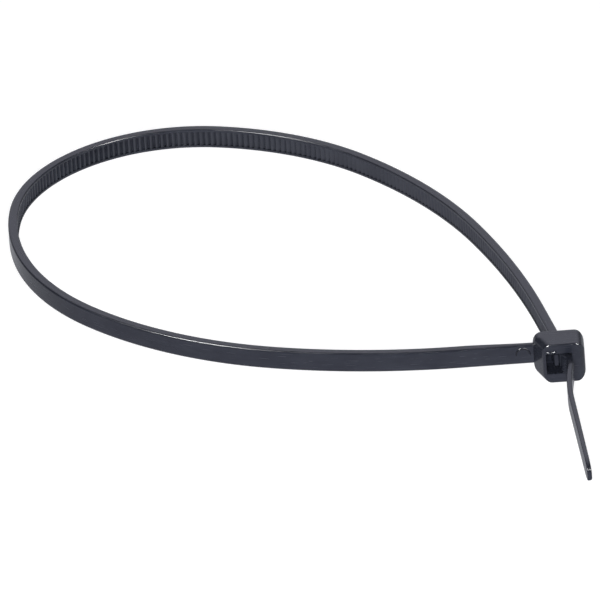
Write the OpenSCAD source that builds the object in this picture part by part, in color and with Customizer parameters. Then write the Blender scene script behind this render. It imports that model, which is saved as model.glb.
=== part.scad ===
// Small nylon cable tie, closed into a loose drop-shaped loop and lying on its side.
// The tie is one moulding: a head with a slot and a pawl, and a toothed strap.
// The origin lies on the flat lower side of the head, under the middle of the slot.
// +X runs from the loop past the head, -Y is the way the tail leaves the slot, +Z is up.

/* [Tie] */
// Length of the whole tie laid straight, head included
tie_len = 250; // [230:2:300]
// Length of tail pulled through the head, from the exit face to the tip
tail_out = 30; // [29:1:90]

/* [Strap] */
// Width of the strap, which stands upright here
strap_w = 2.6; // [2.2:0.1:3]
// Thickness of the strap round the loop
strap_t = 1.2; // [1.05:0.05:1.4]
// Radius of the two edges of the smooth outer face
edge_r = 0.24; // [0.1:0.02:0.32]
// Chamfer on the two edges of the toothed inner face
inner_chamfer = 0.09; // [0.04:0.01:0.14]
// Thickness of the plain neck where the strap leaves the head
neck_t = 0.8; // [0.7:0.05:1]
// Length over which the neck grows to the full thickness
neck_len = 9; // [5:1:14]

/* [Teeth] */
// Distance from one strap tooth to the next
tooth_pitch = 0.75; // [0.7:0.05:1.1]
// Depth of the toothed channel under the rails
channel_depth = 0.45; // [0.35:0.05:0.55]
// How far the tooth tips stay under the rails
tip_drop = 0.08; // [0.04:0.02:0.14]
// Width of each side rail
rail_w = 0.4; // [0.3:0.05:0.5]
// Plain strap between the head and the first tooth
neck_plain = 22; // [15:1:40]
// Plain strap between the last tooth and the tip
tail_plain = 30.5; // [20:0.5:31]

/* [Tail] */
// Thickness of the plain tail just past the last tooth
tail_t = 0.72; // [0.6:0.02:0.9]
// Length over which the strap thins to that past the last tooth
tail_step = 1.6; // [1:0.2:3]
// Thickness at the tip
tip_t = 0.58; // [0.5:0.02:0.7]
// Width of the blunt end of the tip
tip_w = 1; // [0.6:0.1:1.6]
// Length of the rounded tip
tip_len = 3; // [2:0.5:6]

/* [Head] */
// Length of the head along the strap, sloping flank included
head_len = 6.4; // [6:0.2:8]
// Height of the head, across the strap
head_w = 5.4; // [4.8:0.2:7]
// Depth of the head, from the entry face to the exit face
head_d = 4; // [3.4:0.1:5]
// Length of the sloping flank
flank_len = 1.25; // [1:0.05:1.4]
// Rounding of the flank's upper and lower edges
flank_corner = 1.05; // [0.6:0.05:1.2]
// Rounding between the flank and the exit face
flank_r = 0.4; // [0.2:0.05:0.5]
// How far the head stands behind the strap's outer face
strap_back = 0.95; // [0.85:0.02:1.1]
// Corner radius of the head, seen along the slot
head_corner = 1.3; // [0.6:0.1:1.5]
// Rounding of the head's long edges
head_edge = 0.35; // [0.2:0.05:0.6]
// Rounding of the head's end corner at the entry face, seen from above
entry_nose_r = 0.9; // [0.4:0.1:1.2]
// Rounding of the head's end corner at the exit face, seen from above
exit_nose_r = 1; // [0.4:0.1:1.2]

/* [Slot and pawl] */
// Clear gap between the strap and the slot, on every side
slot_gap = 0.1; // [0.06:0.02:0.2]
// Room for the pawl beside the strap, at the exit face
pawl_room = 1.95; // [1.8:0.05:2.2]
// Angle at which the strap leans in the slot
strap_lean = 12; // [8:1:16]
// Thickness of the pawl behind its teeth
pawl_t = 0.65; // [0.6:0.05:0.9]
// Thickness of the pawl's living hinge
hinge_t = 0.32; // [0.25:0.01:0.5]
// Teeth on the pawl
pawl_teeth = 2; // [1:1:2]
// Gap between the pawl's teeth and the strap's teeth
mesh_gap = 0.05; // [0.04:0.01:0.08]

/* [Hidden] */
// How the strap bends round a loop of the usual length: radius, then turn in degrees.
// A springy strip bends least at the head and most at the far end of the loop.
BENDS = [[79, 16.8], [51, 31], [35.7, 50], [22, 0], [37.9, 32.8], [68, 20.9], [133, 10.6]];
// The fourth bend, at the far end, takes the turn that the others leave
CROWN = 3;
// Bends of the tail once it has left the slot: the first turns on, the second turns back
TAIL_BENDS = [[10, 19.2], [38.8, -11.3]];
// Longest straight piece and largest turn between two rings of the strap's skin
RING_STEP = 2.4;
RING_TURN = 3.6;
// Rings stand at least this far from the ones that a change of thickness needs
RING_GAP = 0.5;
// Finer rings at the rounded tip
TIP_RINGS = 7;
// Points in each rounded corner of the head
CORNER_STEPS = 7;
// Where a tooth's crest starts and ends and its ramp ends, as shares of the pitch
CREST_START = 0.05;
CREST_END = 0.32;
RAMP_END = 0.82;
// How far a cut runs past the face that it opens
PAST = 0.4;
// How deep the strap's root is buried in the head
ROOT_BURY = 1;
// The way that the strap leaves the head, and the way that it comes back through the slot
h_out = 180;
h_in = strap_lean - 90;
// The slot's far wall meets the exit face here
wall_x = 1.55;
// Flare of the slot at the entry face
lead_in = 0.25;
// How far the pawl's chamber stays behind the entry face
chamber_back = 0.9;
// Place of the pawl's first tooth, as a share of the head's depth behind the exit face
pawl_share = 0.45;
// How far the pawl reaches past its first tooth, and how far past its last, in pitches
PAWL_NOSE = 0.6;
PAWL_HEEL = 0.8;
// How deep the pawl's teeth stay clear of the channel's floor
pawl_clear = 0.1;
// Where a pawl tooth's ramp starts and ends and its steep face ends, as shares of the pitch
PAWL_RAMP = -0.55;
PAWL_CREST = -0.2;
PAWL_STEEP = 0.05;
// The outline along the flank stands this far out, so that none of its faces lies on another
FACE_GAP = 0.02;

mid_z = head_w / 2;
exit_y = -head_d / 2;
entry_y = head_d / 2;
left_x = -head_len / 2;
right_x = head_len / 2;
strap_y = exit_y + head_d - strap_back;
loop_len = tie_len - head_len - tail_out;
exit_pt = [wall_x - slot_gap, exit_y];
root_pt = [left_x, strap_y];

// Turn of each bend, the far one worked out
other_turn = sum([for (i = [0:len(BENDS) - 1]) if (i != CROWN) BENDS[i][1]]);
bends = [for (i = [0:len(BENDS) - 1]) [BENDS[i][0], i == CROWN ? h_out - h_in - other_turn : BENDS[i][1]]];

function sum(v, i = 0) = i < len(v) ? v[i] + sum(v, i + 1) : 0;
function clamp01(u) = min(1, max(0, u));
function smooth(u) = clamp01(u) * clamp01(u) * (3 - 2 * clamp01(u));

// Where an arc of signed radius r ends, from the origin at heading h, after a clockwise turn
function arc_to(r, h, turn) = [r * (sin(h) - sin(h - turn)), r * (cos(h - turn) - cos(h))];
function arc_len(r, turn) = abs(r * turn) * PI / 180;

// Shift and length of all the loop's bends at their usual size
headings = [for (i = 0, h = h_out; i < len(bends); h = h - bends[i][1], i = i + 1) h];
bend_shifts = [for (i = [0:len(bends) - 1]) arc_to(bends[i][0], headings[i], bends[i][1])];
bend_x = sum([for (v = bend_shifts) v.x]);
bend_y = sum([for (v = bend_shifts) v.y]);
bend_len = sum([for (b = bends) arc_len(b[0], b[1])]);

// The two straight runs that close the loop when its bends are scaled by k
function entry_run(k) = (exit_pt.y - root_pt.y - k * bend_y) / sin(h_in);
function root_run(k) = root_pt.x - exit_pt.x + k * bend_x + entry_run(k) * cos(h_in);
function loop_at(k) = entry_run(k) + root_run(k) + k * bend_len;
// The size of the bends for which the loop has just its length
scale_k = (loop_len - loop_at(0)) / (loop_at(1) - loop_at(0));

// The whole route of the strap's outer face, as [radius or 0, clockwise turn, length]
tail_straight = tail_out - sum([for (b = TAIL_BENDS) arc_len(b[0], b[1])]);
route = concat(
    [[0, 0, root_run(scale_k) + ROOT_BURY]],
    [for (b = bends) [scale_k * b[0], b[1], arc_len(scale_k * b[0], b[1])]],
    [[0, 0, entry_run(scale_k)]],
    [for (b = TAIL_BENDS) [sign(b[1]) * b[0], b[1], arc_len(b[0], b[1])]],
    [[0, 0, tail_straight]]);

function leg_end(p, h, leg) = leg[0] == 0
    ? p + leg[2] * [cos(h), sin(h)]
    : p + arc_to(leg[0], h, leg[1]);
// Start of each leg, as [point, heading, distance from the head]
legs = [for (i = 0, p = root_pt + [ROOT_BURY, 0], h = h_out, s = -ROOT_BURY; i < len(route);
    p = leg_end(p, h, route[i]), h = h - route[i][1], s = s + route[i][2], i = i + 1) [p, h, s]];

// Place on the outer face at distance u along leg i, as [x, y, heading]
function on_leg(i, u) =
    let (leg = route[i], p = legs[i][0], h = legs[i][1], turned = leg[1] * u / leg[2])
    let (q = leg[0] == 0 ? p + u * [cos(h), sin(h)] : p + arc_to(leg[0], h, turned))
    [q.x, q.y, h - turned];
function leg_at(s, i = 0) = i == len(route) - 1 || s < legs[i + 1][2] ? i : leg_at(s, i + 1);
function on_route(s) = let (i = leg_at(s)) on_leg(i, s - legs[i][2]);
// A point n outside the outer face (inside when negative) at distance s from the head
function beside(s, n) = let (q = on_route(s)) [q.x - n * sin(q.z), q.y + n * cos(q.z)];

strap_end = loop_len + tail_out;
rack_end = strap_end - tail_plain;

// Thickness and width of the strap at distance s from the head
function thick(s) = strap_t - (strap_t - neck_t) * (1 - smooth(s / neck_len))
    - (strap_t - tail_t) * smooth((s - rack_end) / tail_step)
    - (tail_t - tip_t) * clamp01((s - rack_end) / tail_plain);
function wide(s) = let (u = clamp01((s - strap_end + tip_len) / tip_len))
    tip_w + (strap_w - tip_w) * sqrt(1 - u * u);

// Half outline of the strap's section: [inward distance, height from the middle], bottom to top
function section(t, w) = let (e = min(edge_r, t / 3), m = e * (1 - sqrt(0.5)), c = inner_chamfer, z = w / 2)
    [[0, e - z], [0, z - e], [-m, z - m], [-e, z], [c - t, z], [-t, z - c],
     [-t, c - z], [c - t, -z], [-e, -z], [-m, m - z]];

// Distances of the rings of the skin
function leg_rings(i) = let (leg = route[i],
    n = max(1, ceil(leg[2] / RING_STEP), ceil(abs(leg[1]) / RING_TURN)))
    [for (j = [0:n - 1]) legs[i][2] + leg[2] * j / n];
tip_start = strap_end - tip_len;
function rings_between(a, b) = [for (i = [0:len(route) - 1]) for (s = leg_rings(i))
    if (s > a + RING_GAP && s < b - RING_GAP) s];
rings = concat(rings_between(-ROOT_BURY - RING_STEP, rack_end),
    [rack_end, rack_end + tail_step / 2, rack_end + tail_step],
    rings_between(rack_end + tail_step, tip_start),
    [for (j = [0:TIP_RINGS]) tip_start + tip_len * sin(90 * j / TIP_RINGS)]);

module strap_skin() {
    sides = len(section(strap_t, strap_w));
    points = [for (s = rings) for (q = section(thick(s), wide(s)))
        let (p = beside(s, q[0])) [p.x, p.y, mid_z + q[1]]];
    walls = [for (r = [0:len(rings) - 2]) for (j = [0:sides - 1])
        let (a = r * sides + j, b = r * sides + (j + 1) % sides)
            each [[a, b + sides, b], [a, a + sides, b + sides]]];
    last = (len(rings) - 1) * sides;
    ends = [[for (j = [0:sides - 1]) j], [for (j = [sides - 1:-1:0]) last + j]];
    polyhedron(points, concat(walls, ends), convexity = 8);
}

// The strap is in mesh with the pawl, so its teeth are counted back from there
pawl_s = loop_len - head_d * pawl_share;
teeth_first = -floor((pawl_s - neck_plain) / tooth_pitch) + 1;
teeth_last = floor((rack_end - pawl_s) / tooth_pitch) - 1;
channel_n = channel_depth - strap_t;
crest_n = tip_drop - strap_t;
// One tooth: a steep face towards the loop, a flat crest and a ramp towards the tip
function tooth(s) = [beside(s, channel_n), beside(s + CREST_START * tooth_pitch, crest_n),
    beside(s + CREST_END * tooth_pitch, crest_n), beside(s + RAMP_END * tooth_pitch, channel_n)];

// What is cut out of the inner face: a channel whose floor is the row of teeth
module tooth_channel() {
    s_first = pawl_s + teeth_first * tooth_pitch;
    s_last = pawl_s + (teeth_last + 1) * tooth_pitch;
    open_n = -strap_t - PAST;
    floor_line = [for (i = [teeth_first:teeth_last]) each tooth(pawl_s + i * tooth_pitch)];
    open_line = [for (i = [len(rings) - 1:-1:0])
        if (rings[i] > s_first && rings[i] < s_last) beside(rings[i], open_n)];
    translate([0, 0, mid_z - strap_w / 2 + rail_w])
        linear_extrude(strap_w - 2 * rail_w)
            polygon(concat(floor_line, [beside(s_last, channel_n), beside(s_last, open_n)],
                open_line, [beside(s_first, open_n)]));
}

// Points of a round corner about c, from angle a0 to angle a1
function corner(c, r, a0, a1) = [for (j = [0:CORNER_STEPS])
    let (a = a0 + (a1 - a0) * j / CORNER_STEPS) c + r * [cos(a), sin(a)]];

// The flank runs from the strap's outer face to the exit face, turned by this angle from the slot
flank_angle = atan(flank_len / (strap_y - exit_y));
flank_c = [left_x + (flank_r + (strap_y - exit_y - flank_r) * sin(flank_angle)) / cos(flank_angle),
    exit_y + flank_r];
// Outline of the head from above, with the flank that rises from the strap
function head_plan() = concat(
    [[left_x, strap_y]],
    corner(flank_c, flank_r, h_out + flank_angle, 270),
    corner([right_x - exit_nose_r, exit_y + exit_nose_r], exit_nose_r, -90, 0),
    corner([right_x - entry_nose_r, entry_y - entry_nose_r], entry_nose_r, 0, 90),
    [[left_x + flank_len / 2, entry_y], [left_x, strap_y + neck_t]]);
// A rectangle with round corners, from a to b
function round_rect(a, b, r) = concat(
    corner([b.x - r, a.y + r], r, -90, 0), corner([b.x - r, b.y - r], r, 0, 90),
    corner([a.x + r, b.y - r], r, 90, 180), corner([a.x + r, a.y + r], r, 180, 270));

// The head is where four extruded outlines cross: from above, along the slot, along the strap
// and along the flank
module head_block() {
    long_d = head_d + 2 * PAST;
    face_gap = [FACE_GAP, FACE_GAP];
    intersection() {
        linear_extrude(head_w)
            polygon(head_plan());
        translate([0, entry_y + PAST, 0])
            rotate([90, 0, 0])
                linear_extrude(long_d)
                    polygon(round_rect([left_x, 0], [right_x, head_w], head_corner));
        translate([left_x - PAST, 0, 0])
            rotate([90, 0, 90])
                linear_extrude(head_len + 2 * PAST)
                    polygon(round_rect([exit_y, 0], [entry_y, head_w], head_edge));
        translate([left_x, strap_y, 0])
            rotate([90, 0, flank_angle])
                translate([0, 0, -long_d])
                    linear_extrude(2 * long_d)
                        polygon(round_rect([0, 0] - face_gap, [2 * head_len, head_w] + face_gap,
                            flank_corner));
    }
}

// The slot from above: its far wall leans with the strap, and the pawl's chamber opens at the exit
slot_left = wall_x - slot_gap - strap_t - pawl_room;
throat_t = strap_t / cos(strap_lean) + 2 * slot_gap;
chamber_y = entry_y - chamber_back;
function far_wall(y) = wall_x - (y - exit_y) * tan(strap_lean);
module slot() {
    flare_y = entry_y - lead_in;
    translate([0, 0, mid_z - strap_w / 2 - slot_gap])
        linear_extrude(strap_w + 2 * slot_gap)
            polygon([[slot_left, exit_y - PAST], [far_wall(exit_y - PAST), exit_y - PAST],
                [far_wall(flare_y), flare_y], [far_wall(flare_y) + lead_in + PAST, entry_y + PAST],
                [far_wall(flare_y) - throat_t - lead_in - PAST, entry_y + PAST],
                [far_wall(flare_y) - throat_t, flare_y], [far_wall(flare_y) - throat_t, chamber_y],
                [slot_left, chamber_y]]);
}

// The pawl in plan, set out along the strap's inner face: [towards the exit, away from the strap]
function by_pawl(a, b) = beside(pawl_s + a, -strap_t - b);
pawl_tip_b = pawl_clear - channel_depth;
function pawl_tooth(a) = [
    by_pawl(a + PAWL_RAMP * tooth_pitch, mesh_gap), by_pawl(a + PAWL_CREST * tooth_pitch, pawl_tip_b),
    by_pawl(a - mesh_gap, pawl_tip_b), by_pawl(a + PAWL_STEEP * tooth_pitch - mesh_gap, mesh_gap)];
module pawl() {
    nose = PAWL_NOSE * tooth_pitch;
    back = (pawl_teeth - 1 + PAWL_HEEL) * tooth_pitch;
    outline = concat(
        [for (i = [0:pawl_teeth - 1]) each pawl_tooth((i - pawl_teeth + 1) * tooth_pitch)],
        [by_pawl(nose, 2 * mesh_gap), by_pawl(nose - mesh_gap, pawl_t), by_pawl(-back, pawl_t),
            by_pawl(-back, hinge_t)]);
    translate([0, 0, mid_z - strap_w / 2 + rail_w + slot_gap])
        linear_extrude(strap_w - 2 * rail_w - 2 * slot_gap) {
            polygon(outline);
            polygon([by_pawl(-back, pawl_t), by_pawl(hinge_t - back, pawl_t - hinge_t),
                [slot_left - PAST, chamber_y - hinge_t], [slot_left - PAST, chamber_y + hinge_t]]);
        }
}

module cable_tie() {
    color("#2b2d33") {
        difference() {
            strap_skin();
            tooth_channel();
        }
        difference() {
            head_block();
            slot();
        }
        pawl();
    }
}

cable_tie();
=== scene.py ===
# %% [markdown]
# A small black cable tie, closed into a loose loop and lying on its side.
# The real thing is a single nylon moulding: a head with a slot and a springy pawl, and a long strap
# with a rack of teeth. OpenSCAD made the frame, and this script dresses it: the driving sizes are
# named again here, so that every surface lies where the frame has it, and each gets the roundness,
# the grain and the gloss of moulded nylon. Only a few edges are a little fuller or finer than the
# frame's, because edges decide how a dark glossy thing catches the light.

# %% The frame
import math

import bmesh
import bpy
import numpy as np
from mathutils import Matrix, Vector


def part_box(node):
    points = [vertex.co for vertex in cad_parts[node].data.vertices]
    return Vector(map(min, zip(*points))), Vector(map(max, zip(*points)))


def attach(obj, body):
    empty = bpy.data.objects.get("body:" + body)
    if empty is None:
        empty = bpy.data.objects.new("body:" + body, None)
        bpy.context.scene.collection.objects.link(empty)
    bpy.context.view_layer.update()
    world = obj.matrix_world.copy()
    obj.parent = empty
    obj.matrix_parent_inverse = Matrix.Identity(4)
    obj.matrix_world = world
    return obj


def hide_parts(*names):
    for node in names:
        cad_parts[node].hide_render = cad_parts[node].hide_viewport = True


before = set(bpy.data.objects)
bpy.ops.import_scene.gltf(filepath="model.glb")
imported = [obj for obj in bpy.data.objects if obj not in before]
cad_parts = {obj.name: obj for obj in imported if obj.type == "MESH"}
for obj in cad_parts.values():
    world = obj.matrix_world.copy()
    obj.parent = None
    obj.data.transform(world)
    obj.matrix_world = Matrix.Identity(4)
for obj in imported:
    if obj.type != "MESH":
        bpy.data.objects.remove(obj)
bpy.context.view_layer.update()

MM = 0.001
low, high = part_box("cable_tie")
print("frame box, mm:", [round(v / MM, 2) for v in (*low, *high)])

# %% [markdown]
# The sizes of the tie, in millimetres, named as its maker would name them. The strap stands
# upright, its smooth face turned out and its teeth turned in. The head's height is read from the
# frame. Apart from a few edges, the other sizes repeat those that the frame was built with.

# %% Sizes of the tie
TIE_LEN = 250.0
TAIL_OUT = 30.0
STRAP_W = 2.6
STRAP_T = 1.2
EDGE_R = 0.24
RAIL_EDGE = 0.15
NECK_T = 0.8
NECK_LEN = 9.0
TAIL_T = 0.72
TAIL_STEP = 1.6
TIP_T = 0.58
TIP_W = 1.0
TIP_LEN = 3.0
TOOTH_PITCH = 0.75
CHANNEL_DEPTH = 0.45
TIP_DROP = 0.08
RAIL_W = 0.34
NECK_PLAIN = 22.0
TAIL_PLAIN = 30.5
HEAD_LEN = 6.4
HEAD_D = 4.0
STRAP_BACK = 0.95
STRAP_LEAN = 12.0
WALL_X = 1.55
SLOT_GAP = 0.1
HEAD_W = high.z / MM
MID_Z = HEAD_W / 2
LOOP_LEN = TIE_LEN - HEAD_LEN - TAIL_OUT
STRAP_END = LOOP_LEN + TAIL_OUT
RACK_END = STRAP_END - TAIL_PLAIN
print("loop", round(LOOP_LEN, 1), "mm of strap, head", round(HEAD_W, 2), "mm high")

# %% [markdown]
# The way that the strap runs. A springy strip that is pushed through its own head bends least where
# the head holds it and most at the far end, so its outer face follows a chain of arcs, each with its
# radius and its turn. A spline through hand-picked points would be quicker to write, but it would not
# keep the strap's length.

# %% Route of the outer face
BENDS = [(79, 16.8), (51, 31), (35.7, 50), (22, 0), (37.9, 32.8), (68, 20.9), (133, 10.6)]
CROWN = 3
TAIL_BENDS = [(10, 19.2), (38.8, -11.3)]
ROOT_BURY = 1.0
HEADING_IN = STRAP_LEAN - 90
ROOT = np.array([-HEAD_LEN / 2, HEAD_D / 2 - STRAP_BACK])
EXIT = np.array([WALL_X - SLOT_GAP, -HEAD_D / 2])


def unit(degrees):
    """The direction of a heading, as a flat vector."""
    return np.array([math.cos(math.radians(degrees)), math.sin(math.radians(degrees))])


def arc_shift(radius, heading, turn):
    """How far an arc of signed radius carries the strap while it turns clockwise."""
    before, after = unit(heading), unit(heading - turn)
    return radius * np.array([before[1] - after[1], after[0] - before[0]])


def arc_length(radius, turn):
    return abs(radius * math.radians(turn))


print(len(BENDS), "bends round the loop,", len(TAIL_BENDS), "in the tail")

# %% [markdown]
# Closing the loop. The strap has to leave the head at its root, run all the way round and come back
# into the slot at its lean, with just the length of strap that there is. So the turn of the far bend,
# the two straight runs and one scale for all bends are worked out from those conditions. After that,
# any point of the strap can be found from its distance along it.

# %% Closing the loop
def close_loop():
    """The legs of the whole strap, as (signed radius or 0, clockwise turn, length)."""
    rest = sum(turn for i, (radius, turn) in enumerate(BENDS) if i != CROWN)
    bends = [(r, 180 - HEADING_IN - rest if i == CROWN else t) for i, (r, t) in enumerate(BENDS)]
    heading, shift, bent = 180.0, np.zeros(2), 0.0
    for radius, turn in bends:
        shift = shift + arc_shift(radius, heading, turn)
        bent += arc_length(radius, turn)
        heading -= turn

    def straight_runs(scale):
        entry = (EXIT[1] - ROOT[1] - scale * shift[1]) / unit(HEADING_IN)[1]
        return entry, ROOT[0] - EXIT[0] + scale * shift[0] + entry * unit(HEADING_IN)[0]

    def total(scale):
        return sum(straight_runs(scale)) + scale * bent

    scale = (LOOP_LEN - total(0)) / (total(1) - total(0))
    entry, root = straight_runs(scale)
    tail_bent = sum(arc_length(r, t) for r, t in TAIL_BENDS)
    print("bends scaled by", round(scale, 4), "straight runs", round(root, 1), round(entry, 1), "mm")
    return ([(0, 0, root + ROOT_BURY)]
            + [(scale * r, t, arc_length(scale * r, t)) for r, t in bends]
            + [(0, 0, entry)]
            + [(math.copysign(r, t), t, arc_length(r, t)) for r, t in TAIL_BENDS]
            + [(0, 0, TAIL_OUT - tail_bent)])


LEGS = []
place, heading, reach = ROOT + [ROOT_BURY, 0], 180.0, -ROOT_BURY
for radius, turn, length in close_loop():
    LEGS.append((place, heading, reach, radius, turn, length))
    place = place + (arc_shift(radius, heading, turn) if radius else length * unit(heading))
    heading -= turn
    reach += length


def on_route(distance):
    """Place on the outer face and the outward direction there, at a distance from the head."""
    place, heading, start, radius, turn, length = [leg for leg in LEGS if leg[2] <= distance][-1]
    along = distance - start
    turned = turn * along / length
    moved = arc_shift(radius, heading, turned) if radius else along * unit(heading)
    ahead = unit(heading - turned)
    return place + moved, np.array([-ahead[1], ahead[0]])


def beside(distance, out):
    """A point that lies outside the outer face by out, or inside it when out is negative."""
    place, outward = on_route(distance)
    return place + out * outward


print("tail tip at", np.round(on_route(STRAP_END)[0], 2), "mm")

# %% [markdown]
# Finishes, shapes and the room's light are all node trees, and two small classes wire them. A Value
# wraps a socket and turns plain Python sums into Math nodes, so that a rule such as 1 - mask reads as
# it would on paper. Every other node comes from add, which takes its type, its settings and what goes
# into its sockets.

# %% Writing node trees as sums
class Value:
    """A socket that can be added, subtracted and multiplied."""

    def __init__(self, wiring, socket):
        self.wiring = wiring
        self.socket = socket

    def _sum(self, operation, first, second):
        return self.wiring.add("ShaderNodeMath", {"operation": operation}, {0: first, 1: second})

    def __add__(self, other):
        return self._sum("ADD", self, other)

    def __radd__(self, other):
        return self._sum("ADD", other, self)

    def __sub__(self, other):
        return self._sum("SUBTRACT", self, other)

    def __rsub__(self, other):
        return self._sum("SUBTRACT", other, self)

    def __mul__(self, other):
        return self._sum("MULTIPLY", self, other)

    def size(self):
        """The value without its sign."""
        return self._sum("ABSOLUTE", self, 0.0)


class Wiring:
    """A node tree under construction."""

    def __init__(self, tree):
        self.tree = tree

    def add(self, kind, settings=None, inputs=None, out=0):
        node = self.tree.nodes.new(kind)
        for name, value in (settings or {}).items():
            setattr(node, name, value)
        for name, value in (inputs or {}).items():
            socket = node.inputs[name]
            if isinstance(value, Value):
                self.tree.links.new(value.socket, socket)
            else:
                socket.default_value = value
        return None if out is None else Value(self, node.outputs[out])


def packed(wiring, x, y, z):
    return wiring.add("ShaderNodeCombineXYZ", None, {"X": x, "Y": y, "Z": z})


def split(wiring, vector):
    """The three parts of a vector."""
    first = wiring.add("ShaderNodeSeparateXYZ", None, {"Vector": vector})
    return [Value(wiring, socket) for socket in first.socket.node.outputs]


# %% [markdown]
# The finish. Moulded black nylon is a very dark blue grey with a satin gloss. Close up it shows a
# fine grain from the mould, cloudy patches where the melt cooled, streaks along the way it flowed,
# hairline scratches from handling and edges rubbed a little lighter. Clouds, streaks, grain and
# scratches are all noise of different sizes, and most of it is drawn out along the flow. An image
# would need unwrapping and would blur in close views.

# %% Patterns of moulded nylon
CLOUD_SIZE = 2.6 * MM
CLOUD_DRAWN = (2, 1, 1)
STREAK_SIZE = 0.45 * MM
STREAK_DRAWN = (9, 1, 1)
GRAIN_SIZE = 0.055 * MM
GRAIN_DRAWN = (1, 1, 1)
SCRATCH_SIZE = 0.09 * MM
SCRATCH_DRAWN = (30, 1, 1)
COARSE, PLAIN, FINE = 1.0, 2.0, 3.0


def noise(wiring, where, stretch, size, detail=PLAIN):
    """Noise about as coarse as size, drawn out along each axis by stretch."""
    drawn = wiring.add("ShaderNodeVectorMath", {"operation": "DIVIDE"}, {0: where, 1: stretch})
    return wiring.add("ShaderNodeTexNoise", None,
                      {"Vector": drawn, "Scale": 1 / size, "Detail": detail, "Roughness": 0.55})


def between(wiring, value, low, high):
    """0 under low, 1 over high and a soft step between."""
    return wiring.add("ShaderNodeMapRange", {"interpolation_type": "SMOOTHSTEP"},
                      {"Value": value, "From Min": low, "From Max": high})


def blend(wiring, share, first, second):
    """Mixes two colours."""
    return wiring.add("ShaderNodeMix", {"data_type": "RGBA"}, {0: share, 6: first, 7: second}, out=2)


def bumped(wiring, height, strength, distance, below=None):
    """A bump of this height, over another bump when there is one."""
    inputs = {"Height": height, "Strength": strength, "Distance": distance}
    if below:
        inputs["Normal"] = below
    return wiring.add("ShaderNodeBump", None, inputs, out="Normal")


print("pattern sizes, mm:", [round(v / MM, 3) for v in (CLOUD_SIZE, STREAK_SIZE, GRAIN_SIZE, SCRATCH_SIZE)])

# %% [markdown]
# One function mixes the patterns into the colour, the roughness and the bump. It adds a thin seam,
# where the two halves of the mould met, and a ring by the head, where a pin pushed the tie out: both
# are made by distances. On the strap everything reads the attribute lay, which holds the distance
# along the strap, the height and the depth, so that the streaks follow each bend. The head has no
# bends, so plain object coordinates serve there.

# %% The nylon finishes
NYLON_DARK = (0.0130, 0.0147, 0.0215, 1)
NYLON_CLOUD = (0.0185, 0.0208, 0.0290, 1)
# The rubbed tone serves worn edges and scratches, and also as painted light that lifts the teeth.
NYLON_RUBBED_AND_PAINTED_LIGHT = (0.0600, 0.0640, 0.0780, 1)
NYLON_IOR = 1.53
CLOUD_RANGE = (0.35, 0.7)
SCRATCH_RANGE = (0.66, 0.72)
RUB_RANGE = (0.35, 1.1)
LIGHTENS = 0.08
UNEVEN_GLOSS = 0.08
SCRATCH_DULLS = 0.10
RUB_DULLS = 0.06
SKIN_STRENGTH = 0.16
SKIN_HEIGHT = 0.008 * MM
MARK_HEIGHT = 0.11 * MM
SEAM_HALF = 0.035 * MM
SEAM_DEEP = 0.42
SEAM_PROUD = 0.06
PIN_AT = 1.3
PIN_R = 0.87
PIN_LINE = 0.12
PIN_PROUD = 1.6
PIN_FADE = 0.4 * MM
OUTER_SKIN = 0.1 * MM
STRAP_GLOSS = 0.19
TEETH_GLOSS = 0.30
# Painted light: how far the teeth's whole colour is lifted towards the rubbed tone, to lighten the shade in
# their gaps.
TEETH_PAINTED_LIGHT = 0.16
HEAD_GLOSS = 0.21


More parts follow.
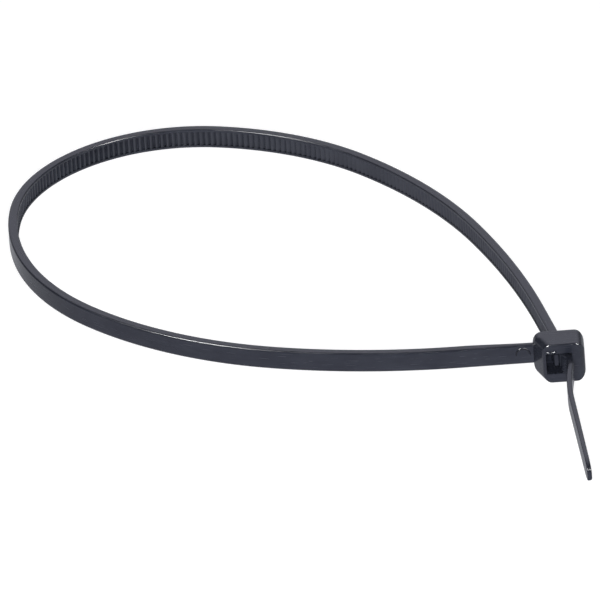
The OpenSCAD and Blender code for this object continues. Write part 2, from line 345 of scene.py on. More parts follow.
def nylon(name, follows_strap, gloss, seam_at, pin_ring=False, painted_light=0.0):
    """A nylon finish whose streaks follow the strap or run straight through the head."""
    material = bpy.data.materials.new(name)
    material.use_nodes = True
    material.node_tree.nodes.clear()
    wiring = Wiring(material.node_tree)
    if follows_strap:
        where = wiring.add("ShaderNodeAttribute", {"attribute_name": "lay"}, None, out="Vector")
    else:
        where = wiring.add("ShaderNodeTexCoord", None, None, out="Object")
    along, height, deep = split(wiring, where)
    edge = wiring.add("ShaderNodeAttribute", {"attribute_name": "edge"}, None, out="Fac")
    cloud = noise(wiring, where, CLOUD_DRAWN, CLOUD_SIZE)
    streak = noise(wiring, where, STREAK_DRAWN, STREAK_SIZE, FINE)
    grain = noise(wiring, where, GRAIN_DRAWN, GRAIN_SIZE, FINE)
    scratch = between(wiring, noise(wiring, where, SCRATCH_DRAWN, SCRATCH_SIZE, COARSE), *SCRATCH_RANGE)
    rub = between(wiring, edge * (cloud + streak * 0.6), *RUB_RANGE)
    from_seam = ((deep if follows_strap else height) - seam_at * MM).size()
    marks = (1 - between(wiring, from_seam, 0.0, SEAM_HALF)) * SEAM_PROUD
    if pin_ring:
        flat = packed(wiring, along - PIN_AT * MM, height, 0.0)
        from_pin = wiring.add("ShaderNodeVectorMath", {"operation": "LENGTH"}, {0: flat}, "Value")
        ring = 1 - between(wiring, (from_pin - PIN_R * MM).size(), 0.0, PIN_LINE * MM)
        proud = between(wiring, deep, -OUTER_SKIN, 0.0) * between(wiring, height, -PIN_FADE, PIN_FADE)
        marks = marks + ring * proud * PIN_PROUD

    clouded = between(wiring, cloud * 0.7 + streak * 0.3, *CLOUD_RANGE)
    colour = blend(wiring, clouded, NYLON_DARK, NYLON_CLOUD)
    # Rubbed edges and scratches are wear; the last share lifts the whole colour as painted light.
    colour = blend(wiring, rub * LIGHTENS + scratch * LIGHTENS + painted_light, colour, NYLON_RUBBED_AND_PAINTED_LIGHT)
    roughness = gloss + (cloud - 0.5) * UNEVEN_GLOSS + (streak - 0.5) * UNEVEN_GLOSS
    roughness = roughness + scratch * SCRATCH_DULLS + rub * RUB_DULLS
    skin = bumped(wiring, grain * 0.5 + streak * 0.35 - scratch * 0.25, SKIN_STRENGTH, SKIN_HEIGHT)
    skin = bumped(wiring, marks, 1.0, MARK_HEIGHT, skin)
    shader = wiring.add("ShaderNodeBsdfPrincipled", None,
                        {"Base Color": colour, "Roughness": roughness, "Normal": skin, "IOR": NYLON_IOR})
    wiring.add("ShaderNodeOutputMaterial", None, {"Surface": shader}, out=None)
    return material


strap_nylon = nylon("nylon_strap", True, STRAP_GLOSS, -SEAM_DEEP, True)
# The teeth's colour is lifted by painted light against the shade between them.
teeth_nylon = nylon("nylon_teeth", True, TEETH_GLOSS, -SEAM_DEEP, painted_light=TEETH_PAINTED_LIGHT)
head_nylon = nylon("nylon_head", False, HEAD_GLOSS, float(ROOT[1]))
print("finishes:", [m.name for m in bpy.data.materials])

# %% [markdown]
# The strap is one section drawn along the route. The route is a chain of vertices that carries, at
# each one, which way is out, how thick and how wide the strap is there and how deep its channel is,
# as shares of the full size. The neck is thinner, the channel opens after the plain neck and closes
# before the plain tail, and the tip is rounded. A chain of boxes would show its joints, so the rings
# stand half a millimetre apart.

# %% The route as a chain of vertices
RING_STEP = 0.5
TIP_RINGS = 9
FADE = 0.5
THREAD_DEPTH = 0.004
PAWL_SHARE = 0.45


def ease(share):
    share = min(1.0, max(0.0, share))
    return share * share * (3 - 2 * share)


def thick_at(distance):
    """Thin at the neck, full round the loop, thinner in one step past the rack, thinnest at the tip."""
    neck = (STRAP_T - NECK_T) * (1 - ease(distance / NECK_LEN))
    step = (STRAP_T - TAIL_T) * ease((distance - RACK_END) / TAIL_STEP)
    taper = (TAIL_T - TIP_T) * min(1.0, max(0.0, (distance - RACK_END) / TAIL_PLAIN))
    return STRAP_T - neck - step - taper


def wide_at(distance):
    share = min(1.0, max(0.0, (distance - STRAP_END + TIP_LEN) / TIP_LEN))
    return TIP_W + (STRAP_W - TIP_W) * math.sqrt(1 - share * share)


PAWL_AT = LOOP_LEN - HEAD_D * PAWL_SHARE
FIRST_TOOTH = 1 - math.floor((PAWL_AT - NECK_PLAIN) / TOOTH_PITCH)
LAST_TOOTH = math.floor((RACK_END - PAWL_AT) / TOOTH_PITCH) - 1
CHANNEL_START = PAWL_AT + FIRST_TOOTH * TOOTH_PITCH
CHANNEL_END = PAWL_AT + (LAST_TOOTH + 1) * TOOTH_PITCH


def channel_at(distance):
    opened = ease((distance - CHANNEL_START + FADE) / FADE)
    closed = ease((CHANNEL_END + FADE - distance) / FADE)
    return THREAD_DEPTH + (CHANNEL_DEPTH - THREAD_DEPTH) * opened * closed


def chain(name, columns, places, closed=False):
    """A line of vertices with an attribute for each named column."""
    mesh = bpy.data.meshes.new(name)
    count = len(places)
    links = [(i, (i + 1) % count) for i in range(count if closed else count - 1)]
    mesh.from_pydata([tuple(p) for p in places], links, [])
    for label, values in columns.items():
        values = np.asarray(values, float)
        kind = "FLOAT_VECTOR" if values.ndim == 2 else "FLOAT"
        field = "vector" if values.ndim == 2 else "value"
        mesh.attributes.new(label, kind, "POINT").data.foreach_set(field, values.ravel())
    line = bpy.data.objects.new(name, mesh)
    bpy.context.scene.collection.objects.link(line)
    return line


body_rings = int((STRAP_END - TIP_LEN + ROOT_BURY) / RING_STEP)
distances = [-ROOT_BURY + RING_STEP * i for i in range(body_rings)]
tip_turns = [math.pi / 2 * i / TIP_RINGS for i in range(TIP_RINGS + 1)]
distances += [STRAP_END - TIP_LEN * (1 - math.sin(turn)) for turn in tip_turns]
on_face = [on_route(d) for d in distances]
route_line = chain("route_line", {
    "distance": [d * MM for d in distances],
    "outward": [(*out, 0) for place, out in on_face],
    "thick_share": [thick_at(d) / STRAP_T for d in distances],
    "wide_share": [wide_at(d) / STRAP_W for d in distances],
    "channel_share": [channel_at(d) / CHANNEL_DEPTH for d in distances],
}, [(*(place * MM), MID_Z * MM) for place, out in on_face])
print(len(distances), "rings along", round(STRAP_END + ROOT_BURY, 1), "mm")

# %% [markdown]
# The section of the strap: a smooth outer face with two rounded edges, two upright sides, and on the
# inner side a rail along each edge with the channel between them. Each point says how its distance
# behind the outer face and its height follow from a fixed amount and a share of the strap's size, so
# the same section serves the thin neck and the narrow tip. Next to each rounding stands one more
# point, so that the flat faces stay flat when they are shaded smooth.

# %% The section as a closed chain
ARC_STEPS = 4
SUPPORT = 0.05
FLOOR_FILLET = 0.04
WALL_TOP = 0.3 * FLOOR_FILLET
WALL_FOOT = 0.2 * FLOOR_FILLET
FOOT_SHARE = 0.96


def half_section():
    """The upper half, as (fixed inward, of thickness, of channel, fixed height, of width)."""
    points = [(0, 0, 0, -EDGE_R - SUPPORT, 0.5)]
    for i in range(ARC_STEPS + 1):
        angle = math.pi / 2 * i / ARC_STEPS
        points.append((-EDGE_R * (1 - math.cos(angle)), 0, 0, -EDGE_R * (1 - math.sin(angle)), 0.5))
    points.append((-EDGE_R - SUPPORT, 0, 0, 0, 0.5))
    points.append((RAIL_EDGE + SUPPORT, -1, 0, 0, 0.5))
    for i in range(ARC_STEPS + 1):
        angle = math.pi / 2 * i / ARC_STEPS
        points.append((RAIL_EDGE * (1 - math.sin(angle)), -1, 0, -RAIL_EDGE * (1 - math.cos(angle)), 0.5))
    points.append((0, -1, 0, -RAIL_W + SUPPORT, 0.5))
    points.append((WALL_TOP, -1, 0, -RAIL_W, 0.5))
    points.append((-WALL_FOOT, -1, FOOT_SHARE, -RAIL_W, 0.5))
    points.append((0, -1, 1, -RAIL_W - FLOOR_FILLET, 0.5))
    return points


upper = half_section()
lower = [(a, b, c, -d, -e) for a, b, c, d, e in reversed(upper)]
section = upper + lower
section_line = chain("section_line", {
    "behind": [(a * MM, b, c) for a, b, c, d, e in section],
    "above": [(d * MM, e, 0) for a, b, c, d, e in section],
}, [((a + b * STRAP_T + c * CHANNEL_DEPTH) * MM, (d + e * STRAP_W) * MM, 0)
    for a, b, c, d, e in section], closed=True)
print(len(section), "points in the section")

# %% [markdown]
# Strap and teeth are both grown by Geometry Nodes, and their trees begin and end alike. A tree takes
# its sizes as named inputs and ends in Realize Instances and Set Material. It runs as a modifier on the
# line that carries it, and what it grew is kept as a plain mesh, which then stands still like any other
# piece.

# %% Helpers for Geometry Nodes
def dot(wiring, first, second):
    return wiring.add("ShaderNodeVectorMath", {"operation": "DOT_PRODUCT"}, {0: first, 1: second}, "Value")


def scaled(wiring, vector, length):
    return wiring.add("ShaderNodeVectorMath", {"operation": "SCALE"}, {0: vector, "Scale": length})


def joined(wiring, first, second):
    return wiring.add("ShaderNodeVectorMath", {"operation": "ADD"}, {0: first, 1: second})


def stored(wiring, name, kind="FLOAT"):
    return wiring.add("GeometryNodeInputNamedAttribute", {"data_type": kind}, {"Name": name})


def store(wiring, geometry, name, value, kind="FLOAT"):
    return wiring.add("GeometryNodeStoreNamedAttribute", {"data_type": kind, "domain": "POINT"},
                      {"Geometry": geometry, "Name": name, "Value": value})


def geometry_tree(name, inputs):
    """An empty Geometry Nodes tree with named inputs, as (wiring, inputs by name, identifiers)."""
    tree = bpy.data.node_groups.new(name, "GeometryNodeTree")
    identifiers = {}
    for label, kind in inputs:
        identifiers[label] = tree.interface.new_socket(label, in_out="INPUT", socket_type=kind).identifier
    tree.interface.new_socket("Geometry", in_out="OUTPUT", socket_type="NodeSocketGeometry")
    wiring = Wiring(tree)
    entry = tree.nodes.new("NodeGroupInput")
    given = {label: Value(wiring, entry.outputs[label]) for label, kind in inputs}
    return wiring, given, identifiers


def finish_tree(wiring, geometry, material):
    """Ends a tree in Realize Instances and Set Material."""
    real = wiring.add("GeometryNodeRealizeInstances", None, {0: geometry})
    dressed = wiring.add("GeometryNodeSetMaterial", None, {"Geometry": real, "Material": material})
    end = wiring.tree.nodes.new("NodeGroupOutput")
    wiring.tree.links.new(dressed.socket, end.inputs[0])


def grow(carrier, tree, identifiers, values):
    """Runs a tree on its carrier, and returns the result as a plain mesh."""
    modifier = carrier.modifiers.new("grow", "NODES")
    modifier.node_group = tree
    for label, value in values.items():
        modifier[identifiers[label]] = value
    bpy.context.view_layer.update()
    mesh = bpy.data.meshes.new_from_object(carrier.evaluated_get(bpy.context.evaluated_depsgraph_get()))
    carrier.modifiers.remove(modifier)
    return mesh


# %% [markdown]
# Every piece passes through the same last steps. Its doubles are merged and its faces turned out, its
# curved faces are shaded smooth up to the creases, and it is measured for wear: a vertex whose
# neighbours' normals lean away from it sits on an edge, and gets a high value in the attribute edge.

# %% Finishing a piece
SHARP_DEGREES = 38
MERGE_WITHIN = 0.0005 * MM
TINY = 1e-12
pieces = []


def edge_share(mesh, full_lean):
    """How strongly each vertex sits on a convex edge, from 0 to 1."""
    count = len(mesh.vertices)
    places = np.empty(count * 3)
    normals = np.empty(count * 3)
    ends = np.empty(len(mesh.edges) * 2, int)
    mesh.vertices.foreach_get("co", places)
    mesh.vertices.foreach_get("normal", normals)
    mesh.edges.foreach_get("vertices", ends)
    places, normals = places.reshape(-1, 3), normals.reshape(-1, 3)
    start, end = ends.reshape(-1, 2).T
    gap = places[end] - places[start]
    lean = ((normals[end] - normals[start]) * gap).sum(1) / np.maximum((gap ** 2).sum(1), TINY)
    lean = np.maximum(lean, 0)
    most = np.zeros(count)
    for side in (start, end):
        np.maximum.at(most, side, lean)
    return np.clip(most * full_lean, 0, 1)


def finish_piece(name, mesh, material):
    """Merges, turns out, smooths and dresses a mesh, and adds it to the scene as a piece."""
    work = bmesh.new()
    work.from_mesh(mesh)
    bmesh.ops.remove_doubles(work, verts=work.verts, dist=MERGE_WITHIN)
    bmesh.ops.recalc_face_normals(work, faces=work.faces)
    work.to_mesh(mesh)
    work.free()
    mesh.shade_smooth()
    mesh.set_sharp_from_angle(angle=math.radians(SHARP_DEGREES))
    wear = mesh.attributes.new("edge", "FLOAT", "POINT")
    wear.data.foreach_set("value", edge_share(mesh, EDGE_R * MM))
    mesh.materials.clear()
    mesh.materials.append(material)
    piece = bpy.data.objects.new(name, mesh)
    bpy.context.scene.collection.objects.link(piece)
    pieces.append(piece)
    print(name, len(mesh.polygons), "faces, box mm",
          [round(v / MM, 2) for corner in (piece.bound_box[0], piece.bound_box[6]) for v in corner])


print("faces that meet at more than", SHARP_DEGREES, "degrees keep a crease")

# %% [markdown]
# Geometry Nodes draw the section along the route. Curve to Mesh joins the rings and carries the
# attributes of both lines onto the mesh. Set Position then puts every vertex exactly where the sizes
# say: so far behind the outer face, and so far above the middle. The bends keep the strap upright,
# which the tilt of a plain sweep would not promise.

# %% The strap, grown along its route
wiring, given, ids = geometry_tree("strap_along_route", [
    ("Route", "NodeSocketGeometry"), ("Section", "NodeSocketObject"), ("Thickness", "NodeSocketFloat"),
    ("Width", "NodeSocketFloat"), ("Channel depth", "NodeSocketFloat"), ("Finish", "NodeSocketMaterial")])
rail = wiring.add("GeometryNodeMeshToCurve", None, {0: given["Route"]})
rail = store(wiring, rail, "on_face", wiring.add("GeometryNodeInputPosition"), "FLOAT_VECTOR")
outline = wiring.add("GeometryNodeObjectInfo", None, {"Object": given["Section"]}, out="Geometry")
outline = wiring.add("GeometryNodeMeshToCurve", None, {0: outline})
skin = wiring.add("GeometryNodeCurveToMesh", None,
                  {"Curve": rail, "Profile Curve": outline, "Fill Caps": True})
thickness = given["Thickness"] * stored(wiring, "thick_share")
width = given["Width"] * stored(wiring, "wide_share")
channel = given["Channel depth"] * stored(wiring, "channel_share")
inward = dot(wiring, stored(wiring, "behind", "FLOAT_VECTOR"), packed(wiring, 1.0, thickness, channel))
height = dot(wiring, stored(wiring, "above", "FLOAT_VECTOR"), packed(wiring, 1.0, width, 0.0))
moved = joined(wiring, stored(wiring, "on_face", "FLOAT_VECTOR"),
               scaled(wiring, stored(wiring, "outward", "FLOAT_VECTOR"), inward))
moved = joined(wiring, moved, packed(wiring, 0.0, 0.0, height))
lay = packed(wiring, stored(wiring, "distance"), height, inward)
skin = store(wiring, skin, "lay", lay, "FLOAT_VECTOR")
skin = wiring.add("GeometryNodeSetPosition", None, {"Geometry": skin, "Position": moved})
finish_tree(wiring, skin, given["Finish"])
strap_mesh = grow(route_line, wiring.tree, ids, {
    "Section": section_line, "Thickness": STRAP_T * MM, "Width": STRAP_W * MM,
    "Channel depth": CHANNEL_DEPTH * MM, "Finish": strap_nylon})
finish_piece("strap", strap_mesh, strap_nylon)

# %% [markdown]
# The teeth are what makes the tie work. Each is a small wedge across the channel: a steep face
# towards the loop, where the pawl catches, a narrow flat crest, and a ramp towards the tip, over
# which the pawl slides. One wedge is modelled with eased edges, and Geometry Nodes set it
# down along the channel's floor at every pitch, turned with the strap.

# %% One tooth
TOOTH_H = CHANNEL_DEPTH - TIP_DROP
TOOTH_ROOT = 0.06
EASED = 0.035
STEEP_AT = 0.05 * TOOTH_PITCH
CREST_AT = 0.32 * TOOTH_PITCH
RAMP_END = 0.82 * TOOTH_PITCH
tooth_outline = [
    (0, -TOOTH_ROOT), (0, 0), (STEEP_AT - EASED / 3, TOOTH_H - EASED), (STEEP_AT + EASED / 2, TOOTH_H),
    (CREST_AT - EASED, TOOTH_H), (CREST_AT + EASED, TOOTH_H - EASED),
    (RAMP_END, 0), (RAMP_END, -TOOTH_ROOT)]


def prism(name, outline, start, end, axes):
    """An outline given a depth. axes places (across, up, depth) on x, y and z."""
    places = []
    for depth in (start, end):
        for across, up in outline:
            place = [0, 0, 0]
            for value, axis in zip((across, up, depth), axes):
                place[axis] = value
            places.append(place)
    count = len(outline)
    faces = [(i, (i + 1) % count, count + (i + 1) % count, count + i) for i in range(count)]
    faces += [tuple(range(count))[::-1], tuple(range(count, 2 * count))]
    mesh = bpy.data.meshes.new(name)
    mesh.from_pydata(places, [], faces)
    work = bmesh.new()
    work.from_mesh(mesh)
    bmesh.ops.recalc_face_normals(work, faces=work.faces)
    work.to_mesh(mesh)
    work.free()
    solid = bpy.data.objects.new(name, mesh)
    bpy.context.scene.collection.objects.link(solid)
    return solid


half_tooth = STRAP_W / 2 - RAIL_W + TOOTH_ROOT
tooth = prism("tooth", tooth_outline, -half_tooth, half_tooth, (0, 2, 1))
tooth.data.transform(Matrix.Scale(MM, 4))
print("tooth", round(RAMP_END, 2), "x", round(TOOTH_H, 2), "mm, faces", len(tooth.data.polygons))

# %% [markdown]
# The rack. A point is made for every tooth, and Sample Curve moves it along the route by its number
# times the pitch. Axes to Rotation stands each tooth on the floor of the channel, pointing inwards. A
# random share of a few hundredths makes their heights as uneven as moulded teeth are. An Array along a
# curve would bend the teeth as well.

# %% The rack of teeth, set along the route
LOWEST_TOOTH = 0.97
TEETH_SEED = 4
wiring, given, ids = geometry_tree("teeth_along_route", [
    ("Route", "NodeSocketGeometry"), ("Tooth", "NodeSocketObject"), ("Count", "NodeSocketInt"),
    ("First tooth", "NodeSocketFloat"), ("Pitch", "NodeSocketFloat"), ("Floor depth", "NodeSocketFloat"),
    ("Seed", "NodeSocketInt"), ("Finish", "NodeSocketMaterial")])
rail = wiring.add("GeometryNodeMeshToCurve", None, {0: given["Route"]})
spots = wiring.add("GeometryNodePoints", None, {"Count": given["Count"]})
number = wiring.add("GeometryNodeInputIndex")
distance = given["First tooth"] + number * given["Pitch"]
sample = {"Curves": rail, "Length": distance, "Value": stored(wiring, "outward", "FLOAT_VECTOR")}
reader = wiring.tree.nodes.new("GeometryNodeSampleCurve")
reader.mode = "LENGTH"
reader.data_type = "FLOAT_VECTOR"
for label, value in sample.items():
    wiring.tree.links.new(value.socket, reader.inputs[label])
outward, on_face, tangent = (Value(wiring, reader.outputs[o]) for o in ("Value", "Position", "Tangent"))
inwards = scaled(wiring, outward, -1.0)
floor = joined(wiring, on_face, scaled(wiring, inwards, given["Floor depth"]))
spots = wiring.add("GeometryNodeSetPosition", None, {"Geometry": spots, "Position": floor})
spots = store(wiring, spots, "distance", distance)
turn = wiring.add("FunctionNodeAxesToRotation", {"primary_axis": "Z", "secondary_axis": "X"},
                  {0: inwards, 1: tangent})
shape = wiring.add("GeometryNodeObjectInfo", None, {"Object": given["Tooth"]}, out="Geometry")
spread = wiring.add("FunctionNodeRandomValue", {"data_type": "FLOAT"},
                    {2: LOWEST_TOOTH, 3: 1.0, "Seed": given["Seed"]}, out=1)
uneven = packed(wiring, 1.0, 1.0, spread)
rack = wiring.add("GeometryNodeInstanceOnPoints", None,
                  {"Points": spots, "Instance": shape, "Rotation": turn, "Scale": uneven})
finish_tree(wiring, rack, given["Finish"])
tooth_count = LAST_TOOTH - FIRST_TOOTH + 1
teeth_mesh = grow(route_line, wiring.tree, ids, {
    "Tooth": tooth, "Count": tooth_count, "First tooth": (CHANNEL_START + ROOT_BURY) * MM,
    "Pitch": TOOTH_PITCH * MM, "Floor depth": (STRAP_T - CHANNEL_DEPTH) * MM,
    "Seed": TEETH_SEED, "Finish": teeth_nylon})
count = len(teeth_mesh.vertices)
places = np.empty(count * 3)
teeth_mesh.vertices.foreach_get("co", places)
along = np.empty(count)
teeth_mesh.attributes["distance"].data.foreach_get("value", along)
height = places.reshape(-1, 3)[:, 2] - MID_Z * MM
lay = np.stack([along - ROOT_BURY * MM, height, np.zeros(count)], 1)
teeth_mesh.attributes.new("lay", "FLOAT_VECTOR", "POINT").data.foreach_set("vector", lay.ravel())
finish_piece("strap_teeth", teeth_mesh, teeth_nylon)
print(tooth_count, "teeth")

# %% [markdown]
# The head is a small block with a sloping flank, drawn the way its mould is cut. Four outlines are
# extruded through it, from above, along the slot, along the strap and along the flank, and the head
# is where all four cross. Rounding the block with a Bevel would need its corners in one mesh first,
# while each outline here carries its own corner radii.

# %% Outlines of the head
FLANK_LEN = 1.25
FLANK_CORNER = 1.05
FLANK_R = 0.8
HEAD_CORNER = 1.3
HEAD_EDGE = 0.2
ENTRY_NOSE_R = 0.9
EXIT_NOSE_R = 1.0
CORNER_STEPS = 12
PAST = 0.4
FACE_GAP = 0.02
LEFT_X, RIGHT_X = -HEAD_LEN / 2, HEAD_LEN / 2
EXIT_Y, ENTRY_Y = -HEAD_D / 2, HEAD_D / 2


def corner(x, y, radius, start, end):
    """Points of a round corner about (x, y)."""
    turns = [start + (end - start) * i / CORNER_STEPS for i in range(CORNER_STEPS + 1)]
    return [tuple(np.array([x, y]) + radius * unit(turn)) for turn in turns]


def round_rect(x0, y0, x1, y1, r):
    return (corner(x1 - r, y0 + r, r, -90, 0) + corner(x1 - r, y1 - r, r, 0, 90)
            + corner(x0 + r, y1 - r, r, 90, 180) + corner(x0 + r, y0 + r, r, 180, 270))


flank_deep = ROOT[1] - EXIT_Y
flank_turn = math.atan(FLANK_LEN / flank_deep)
flank_x = LEFT_X + (FLANK_R + (flank_deep - FLANK_R) * math.sin(flank_turn)) / math.cos(flank_turn)
head_plan = ([tuple(ROOT)]
             + corner(flank_x, EXIT_Y + FLANK_R, FLANK_R, 180 + math.degrees(flank_turn), 270)
             + corner(RIGHT_X - EXIT_NOSE_R, EXIT_Y + EXIT_NOSE_R, EXIT_NOSE_R, -90, 0)
             + corner(RIGHT_X - ENTRY_NOSE_R, ENTRY_Y - ENTRY_NOSE_R, ENTRY_NOSE_R, 0, 90)
             + [(LEFT_X + FLANK_LEN / 2, ENTRY_Y), (LEFT_X, ROOT[1] + NECK_T)])
print("head", HEAD_LEN, "x", HEAD_D, "x", round(HEAD_W, 2), "mm, flank at",
      round(math.degrees(flank_turn), 1), "degrees")

# %% [markdown]
# Three tools carve such a solid. Boolean modifiers cross and cut it. A fine voxel remesh and a little
# smoothing give all the edges the small radius that a mould leaves, the inner ones too, which a Bevel
# cannot do on such crossing curves. Last, a flat can be pressed on whatever stands out furthest in one
# direction. The solids are drawn in millimetres, and scaled once they are done.

# %% Tools for carving
def cross(solid, steps):
    """Adds a Boolean modifier for each (operation, other solid)."""
    for operation, other in steps:
        crossing = solid.modifiers.new(operation, "BOOLEAN")
        crossing.operation = operation
        crossing.object = other
        crossing.solver = "EXACT"


def ease_edges(solid, voxel, rounds):
    """Adds an even mesh of small squares, and smooths it by so many rounds."""
    remesh = solid.modifiers.new("remesh", "REMESH")
    remesh.mode = "VOXEL"
    remesh.voxel_size = voxel
    easing = solid.modifiers.new("easing", "SMOOTH")
    easing.factor = 0.5
    easing.iterations = rounds


def press_flat(mesh, way, deep, behind):
    """Presses a flat spot into what stands out furthest towards way, in front of the depth behind."""
    places = np.empty(len(mesh.vertices) * 3)
    mesh.vertices.foreach_get("co", places)
    places = places.reshape(-1, 3)
    way = np.array(way) / np.linalg.norm(way)
    chosen = places[:, 1] < behind
    out = places @ way
    over = np.where(chosen, np.maximum(out - out[chosen].max() + deep, 0), 0)
    mesh.vertices.foreach_set("co", (places - over[:, None] * way).ravel())


def moulded(name, solid, others, material, flats=()):
    """Runs the modifiers of a solid drawn in millimetres, and makes it a piece."""
    bpy.context.view_layer.update()
    mesh = bpy.data.meshes.new_from_object(solid.evaluated_get(bpy.context.evaluated_depsgraph_get()))
    for way, deep, behind in flats:
        press_flat(mesh, way, deep, behind)
    mesh.transform(Matrix.Scale(MM, 4))
    for used in [solid] + others:
        bpy.data.objects.remove(used)
    finish_piece(name, mesh, material)


# %% [markdown]
# The slot is then taken out of the block. Its far wall leans with the strap, a wide chamber beside the
# strap makes room for the pawl, and its mouth is flared at the entry face, so that the tip finds its
# way in. Over the chamber stands a short arched bead, which stiffens the edge that the pawl pushes
# against. The block is smoothed before the cut more than after it, so that its outer edges come out
# rounder than those of the slot. The two upper corners of the exit face and the bead get tiny flats,
# as a used mould leaves them. Each faces halfway between the camera and a lamp, and so shows as a
# white glint.

# %% The head, crossed, cut and eased
VOXEL = 0.055
OUTER_ROUNDS = 22
INNER_ROUNDS = 3
PAWL_ROOM = 1.95
LEAD_IN = 0.25
CHAMBER_BACK = 0.9
BEAD_HIGH = 0.24
BEAD_R = 1.0
BEAD_SWEEP = 42
BEAD_IN = 0.3
BEAD_ABOVE = 0.12
FLAT_WAYS = [(-0.32, -0.61, 0.72), (0.29, -0.65, 0.71)]
CORNER_FLAT = 0.024
BEAD_FLAT = 0.042
BEAD_FRONT = 0.06
LEAN = math.tan(math.radians(STRAP_LEAN))
SLOT_LEFT = WALL_X - SLOT_GAP - STRAP_T - PAWL_ROOM
THROAT = STRAP_T / math.cos(math.radians(STRAP_LEAN)) + 2 * SLOT_GAP
CHAMBER_Y = ENTRY_Y - CHAMBER_BACK


def far_wall(y):
    """Where the slot's far wall stands at a depth y."""
    return WALL_X - (y - EXIT_Y) * LEAN


flare_y = ENTRY_Y - LEAD_IN
near_x = far_wall(flare_y) - THROAT
slot_outline = [
    (SLOT_LEFT, EXIT_Y - PAST), (far_wall(EXIT_Y - PAST), EXIT_Y - PAST), (far_wall(flare_y), flare_y),
    (far_wall(flare_y) + LEAD_IN + PAST, ENTRY_Y + PAST), (near_x - LEAD_IN - PAST, ENTRY_Y + PAST),
    (near_x, flare_y), (near_x, CHAMBER_Y), (SLOT_LEFT, CHAMBER_Y)]
slot_half = STRAP_W / 2 + SLOT_GAP
along_slot = prism("along_slot", round_rect(LEFT_X, 0, RIGHT_X, HEAD_W, HEAD_CORNER),
                   EXIT_Y - PAST, ENTRY_Y + PAST, (0, 2, 1))
along_strap = prism("along_strap", round_rect(EXIT_Y, 0, ENTRY_Y, HEAD_W, HEAD_EDGE),
                    LEFT_X - PAST, RIGHT_X + PAST, (1, 2, 0))
flank_face = round_rect(-FACE_GAP, -FACE_GAP, 2 * HEAD_LEN, HEAD_W + FACE_GAP, FLANK_CORNER)
along_flank = prism("along_flank", flank_face, -2 * HEAD_D, 2 * HEAD_D, (0, 2, 1))
along_flank.data.transform(Matrix.Translation((*ROOT, 0)) @ Matrix.Rotation(flank_turn, 4, "Z"))
slot_room = prism("slot_room", slot_outline, MID_Z - slot_half, MID_Z + slot_half, (0, 1, 2))
bead_z = MID_Z + slot_half + BEAD_ABOVE
bead_half = BEAD_R * math.sin(math.radians(BEAD_SWEEP))
bead_x = SLOT_LEFT + bead_half
bead_y = EXIT_Y + BEAD_R * math.cos(math.radians(BEAD_SWEEP))
bead_outline = (corner(bead_x, bead_y, BEAD_R, 270 - BEAD_SWEEP, 270 + BEAD_SWEEP)
                + [(bead_x + bead_half, EXIT_Y + BEAD_IN), (bead_x - bead_half, EXIT_Y + BEAD_IN)])
bead = prism("bead", bead_outline, bead_z, bead_z + BEAD_HIGH, (0, 1, 2))
block = prism("head_block", head_plan, 0, HEAD_W, (0, 1, 2))
cross(block, [("INTERSECT", along_slot), ("INTERSECT", along_strap), ("INTERSECT", along_flank)])
ease_edges(block, VOXEL, OUTER_ROUNDS)
cross(block, [("DIFFERENCE", slot_room), ("UNION", bead)])
ease_edges(block, VOXEL, INNER_ROUNDS)
moulded("head", block, [along_slot, along_strap, along_flank, slot_room, bead], head_nylon,
        [(way, CORNER_FLAT, ENTRY_Y) for way in FLAT_WAYS]
        + [(way, BEAD_FLAT, EXIT_Y - BEAD_FRONT) for way in FLAT_WAYS])

# %% [markdown]
# The pawl is a tongue inside the slot, on a thin hinge. Two teeth on it drop into the strap's teeth.
# Its outline is set out from the strap's inner face, so that it meshes wherever the strap lies. The
# two lines and the tooth that strap and rack were grown from have then done their work, and go.

# %% The pawl
PAWL_T = 0.65
HINGE_T = 0.32
PAWL_TEETH = 2
PAWL_INSET = 0.5
PAWL_NOSE = 0.6 * TOOTH_PITCH
PAWL_HEEL = 0.8 * TOOTH_PITCH
PAWL_RAMP = 0.55 * TOOTH_PITCH
PAWL_CREST = 0.2 * TOOTH_PITCH
PAWL_STEEP = 0.05 * TOOTH_PITCH
MESH_GAP = 0.05
BITE_GAP = 0.1
PAWL_BITE = BITE_GAP - CHANNEL_DEPTH
PAWL_VOXEL = 0.03


def by_pawl(ahead, away):
    """A point so far ahead of the pawl's place and so far away from the strap's inner face."""
    return tuple(beside(PAWL_AT + ahead, -STRAP_T - away))


pawl_outline = []
for i in range(PAWL_TEETH):
    at = (i - PAWL_TEETH + 1) * TOOTH_PITCH
    pawl_outline += [by_pawl(at - PAWL_RAMP, MESH_GAP), by_pawl(at - PAWL_CREST, PAWL_BITE),
                     by_pawl(at - MESH_GAP, PAWL_BITE), by_pawl(at + PAWL_STEEP - MESH_GAP, MESH_GAP)]
pawl_back = (PAWL_TEETH - 1) * TOOTH_PITCH + PAWL_HEEL
pawl_outline += [by_pawl(PAWL_NOSE, 2 * MESH_GAP), by_pawl(PAWL_NOSE - MESH_GAP, PAWL_T),
                 by_pawl(-pawl_back, PAWL_T), by_pawl(-pawl_back, HINGE_T)]
hinge_outline = [by_pawl(-pawl_back, PAWL_T), by_pawl(HINGE_T - pawl_back, PAWL_T - HINGE_T),
                 (SLOT_LEFT - PAST, CHAMBER_Y - HINGE_T), (SLOT_LEFT - PAST, CHAMBER_Y + HINGE_T)]
pawl_half = STRAP_W / 2 - PAWL_INSET
tongue = prism("tongue", pawl_outline, MID_Z - pawl_half, MID_Z + pawl_half, (0, 1, 2))
hinge = prism("hinge", hinge_outline, MID_Z - pawl_half, MID_Z + pawl_half, (0, 1, 2))
cross(tongue, [("UNION", hinge)])
ease_edges(tongue, PAWL_VOXEL, INNER_ROUNDS)
moulded("pawl", tongue, [hinge], head_nylon)

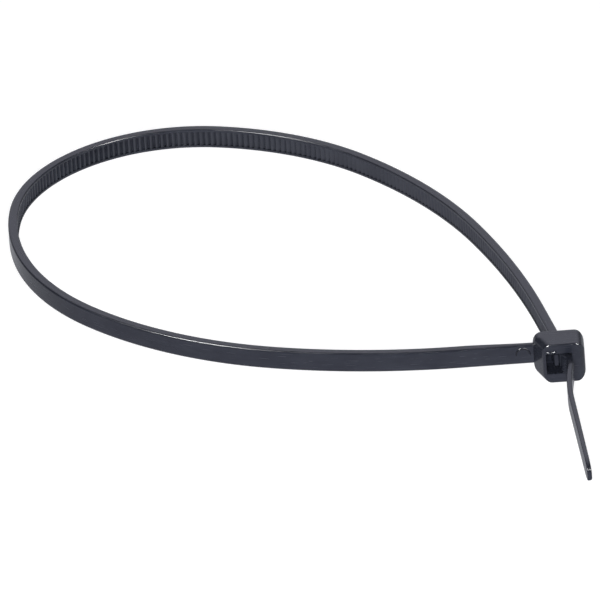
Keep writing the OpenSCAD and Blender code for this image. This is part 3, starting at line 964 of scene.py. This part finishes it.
for helper in (route_line, section_line, tooth):
    bpy.data.objects.remove(helper)

# %% [markdown]
# The stage. The tie was photographed on white, so the floor is a wide pale sheet. Part of its
# brightness is a glow of its own: the sheet stays white right up to the tie, as it does over a light
# table, and no shadow swallows the thin strap. The nylon doesn't mirror the sheet, but a grey below
# the room's horizon, whose brightness can be set without making the sheet any darker.

# %% Floor
FLOOR_WIDTH = 3.0
FLOOR_GREY = 0.25
FLOOR_GLOW = 0.90
floor_mesh = bpy.data.meshes.new("floor")
side = FLOOR_WIDTH / 2
floor_mesh.from_pydata([(-side, -side, 0), (side, -side, 0), (side, side, 0), (-side, side, 0)], [],
                       [(0, 1, 2, 3)])
floor_white = bpy.data.materials.new("floor_white")
floor_white.use_nodes = True
floor_shader = floor_white.node_tree.nodes["Principled BSDF"]
floor_shader.inputs["Base Color"].default_value = (FLOOR_GREY, FLOOR_GREY, FLOOR_GREY, 1)
floor_shader.inputs["Roughness"].default_value = 0.9
floor_shader.inputs["Specular IOR Level"].default_value = 0.0
floor_shader.inputs["Emission Color"].default_value = (1, 1, 1, 1)
floor_shader.inputs["Emission Strength"].default_value = FLOOR_GLOW
floor_mesh.materials.append(floor_white)
floor = bpy.data.objects.new("floor", floor_mesh)
bpy.context.scene.collection.objects.link(floor)
floor.visible_glossy = False
print("floor", FLOOR_WIDTH, "m wide")

# %% [markdown]
# The camera looks down at the tie by 28 degrees through a very long lens, so that the far side of the
# loop is hardly smaller than the near one, and leans over by 4 degrees. Its three axes are written out
# and put into a matrix, which is easier to check against the picture than three angles in turn.

# %% Camera
ELEVATION = 28.0
ROLL = 4.1
DISTANCE = 3.4
FRAME_WIDTH = 75.66 * MM
SENSOR = 36.0
LOOKS_AT = Vector((-31.912, 22.28, 1.45)) * MM
lens_data = bpy.data.cameras.new("camera")
lens_data.sensor_width = SENSOR
lens_data.lens = SENSOR * DISTANCE / FRAME_WIDTH
lens_data.clip_start, lens_data.clip_end = 0.1, 20
camera = bpy.data.objects.new("camera", lens_data)
tilt, roll = math.radians(ELEVATION), math.radians(ROLL)
level_up = Vector((0, math.sin(tilt), math.cos(tilt)))
right = math.cos(roll) * Vector((1, 0, 0)) - math.sin(roll) * level_up
up = math.sin(roll) * Vector((1, 0, 0)) + math.cos(roll) * level_up
back = right.cross(up)
turned = Matrix((right, up, back)).transposed().to_4x4()
camera.matrix_world = Matrix.Translation(LOOKS_AT + back * DISTANCE) @ turned
bpy.context.scene.collection.objects.link(camera)
bpy.context.scene.camera = camera
print("lens", round(lens_data.lens), "mm at", DISTANCE, "m")

# %% [markdown]
# The light. A glossy dark object shows its surroundings more than its own colour. The room has one
# bright patch low behind the tie, which the faces that look up mirror towards the camera. The rest of
# its upper half is dim, which leaves a dark line along every rounded edge, and its lower half is the
# grey that stands for the floor. Two small soft boxes, high on the left and the right, draw short
# white streaks where the edges turn towards them, and light nothing else. A third lamp, in line with
# the camera, does the opposite: it fills the slot's shadow and is not mirrored.

# %% Light
ROOM_BRIGHT = (0.72, 0.73, 0.85, 1)
ROOM_DIM = (0.04, 0.04, 0.05, 1)
FLOOR_BRIGHT = (0.42, 0.42, 0.50, 1)
FLOOR_DIM = (0.43, 0.44, 0.48, 1)
ROOM_SIDE = (0.0, 0.88, 0.47)
ROOM_EDGE = (0.78, 0.97)
FLOOR_SIDE = (-0.6, -0.8, 0.0)
FLOOR_EDGE = (-0.1, 0.6)
UPWARD = (0, 0, 1)
HORIZON = (-0.08, 0.04)
LAMP_AWAY = 0.7
LAMP_SIZE = (0.16, 0.26)
LAMP_POWER = 7.0
LEFT_WAY = (-0.57, -0.20, 0.80)
RIGHT_WAY = (0.52, -0.28, 0.80)
FILL_SIZE = (0.2, 0.2)
FILL_POWER = 6.5
scene = bpy.context.scene
scene.view_settings.view_transform = "Standard"
world = bpy.data.worlds.new("room")
scene.world = world
world.use_nodes = True
world.node_tree.nodes.clear()
wiring = Wiring(world.node_tree)
facing = wiring.add("ShaderNodeTexCoord", None, None, out="Generated")
behind_tie = between(wiring, dot(wiring, facing, ROOM_SIDE), *ROOM_EDGE)
above = blend(wiring, behind_tie, ROOM_DIM, ROOM_BRIGHT)
front_left = between(wiring, dot(wiring, facing, FLOOR_SIDE), *FLOOR_EDGE)
below = blend(wiring, front_left, FLOOR_DIM, FLOOR_BRIGHT)
room = blend(wiring, between(wiring, dot(wiring, facing, UPWARD), *HORIZON), below, above)
backdrop = wiring.add("ShaderNodeBackground", None, {"Color": room})
wiring.add("ShaderNodeOutputWorld", None, {"Surface": backdrop}, out=None)


def soft_box(name, way, size, power):
    """A rectangular area light that stands off in the direction way and faces the tie."""
    data = bpy.data.lights.new(name, "AREA")
    data.shape = "RECTANGLE"
    data.size, data.size_y = size
    data.energy = power
    light = bpy.data.objects.new(name, data)
    light.location = LOOKS_AT + Vector(way).normalized() * LAMP_AWAY
    light.rotation_euler = (LOOKS_AT - light.location).to_track_quat("-Z", "Y").to_euler()
    bpy.context.scene.collection.objects.link(light)
    return light


lamps = [soft_box("lamp_left", LEFT_WAY, LAMP_SIZE, LAMP_POWER),
         soft_box("lamp_right", RIGHT_WAY, LAMP_SIZE, LAMP_POWER)]
for lamp in lamps:
    lamp.visible_diffuse = False
fill = soft_box("lamp_fill", back, FILL_SIZE, FILL_POWER)
fill.visible_glossy = False
print("lamps:", [lamp.name for lamp in lamps + [fill]])

# %% [markdown]
# Every piece is handed to the frame: it rides on the one body and stands for the CAD node, which is
# hidden.

# %% Handing over
for piece in pieces:
    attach(piece, "root")
    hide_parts("cable_tie")
